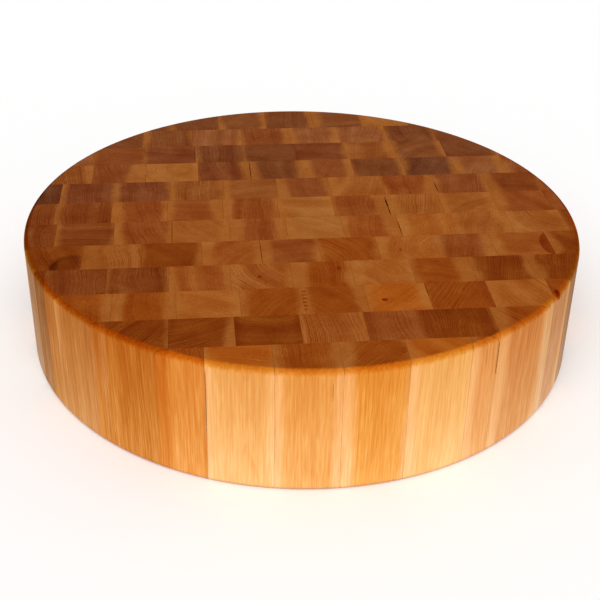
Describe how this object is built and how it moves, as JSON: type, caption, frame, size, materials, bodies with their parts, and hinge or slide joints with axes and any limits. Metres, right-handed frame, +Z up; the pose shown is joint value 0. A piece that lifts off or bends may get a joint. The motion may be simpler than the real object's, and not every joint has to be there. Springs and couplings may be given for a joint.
{
  "type": "chopping block",
  "caption": "Round end-grain chopping block, glued up from staggered rows of upright maple blocks, flat above and below, with both rims eased.",
  "frame": {"origin": "centre of the underside", "axes": "+Z up along the grain of the blocks, X along the glued rows, +Y across the rows towards the back row"},
  "size_m": [0.4572, 0.4572, 0.1045],
  "materials": {
    "oiled_maple": "oiled end grain above and below, oiled long grain round the side"
  },
  "bodies": {
    "root": {"row_01_rim_block_1": "oiled_maple", "row_01_rim_block_2": "oiled_maple", "row_01_rim_block_3": "oiled_maple", "row_01_rim_block_4": "oiled_maple", "row_01_rim_block_5": "oiled_maple", "row_01_rim_block_6": "oiled_maple", "row_01_rim_block_7": "oiled_maple", "row_02_rim_block_1": "oiled_maple", "row_02_rim_block_2": "oiled_maple", "row_02_rim_block_3": "oiled_maple", "row_02_rim_block_4": "oiled_maple", "row_02_whole_blocks": "oiled_maple", "row_03_rim_block_1": "oiled_maple", "row_03_rim_block_2": "oiled_maple", "row_03_rim_block_3": "oiled_maple", "row_03_rim_block_4": "oiled_maple", "row_03_whole_blocks": "oiled_maple", "row_04_rim_block_1": "oiled_maple", "row_04_rim_block_2": "oiled_maple", "row_04_whole_blocks": "oiled_maple", "row_05_rim_block_1": "oiled_maple", "row_05_rim_block_2": "oiled_maple", "row_05_rim_block_3": "oiled_maple", "row_05_whole_blocks": "oiled_maple", "row_06_rim_block_1": "oiled_maple", "row_06_rim_block_2": "oiled_maple", "row_06_whole_blocks": "oiled_maple", "row_07_rim_block_1": "oiled_maple", "row_07_rim_block_2": "oiled_maple", "row_07_whole_blocks": "oiled_maple", "row_08_rim_block_1": "oiled_maple", "row_08_rim_block_2": "oiled_maple", "row_08_whole_blocks": "oiled_maple", "row_09_rim_block_1": "oiled_maple", "row_09_rim_block_2": "oiled_maple", "row_09_rim_block_3": "oiled_maple", "row_09_whole_blocks": "oiled_maple", "row_10_rim_block_1": "oiled_maple", "row_10_rim_block_2": "oiled_maple", "row_10_rim_block_3": "oiled_maple", "row_10_whole_blocks": "oiled_maple", "row_11_rim_block_1": "oiled_maple", "row_11_rim_block_2": "oiled_maple", "row_11_rim_block_3": "oiled_maple", "row_11_rim_block_4": "oiled_maple", "row_11_whole_blocks": "oiled_maple", "row_12_rim_block_1": "oiled_maple", "row_12_rim_block_2": "oiled_maple", "row_12_rim_block_3": "oiled_maple", "row_12_rim_block_4": "oiled_maple", "row_12_rim_block_5": "oiled_maple", "row_12_rim_block_6": "oiled_maple"}
  },
  "joints": []
}
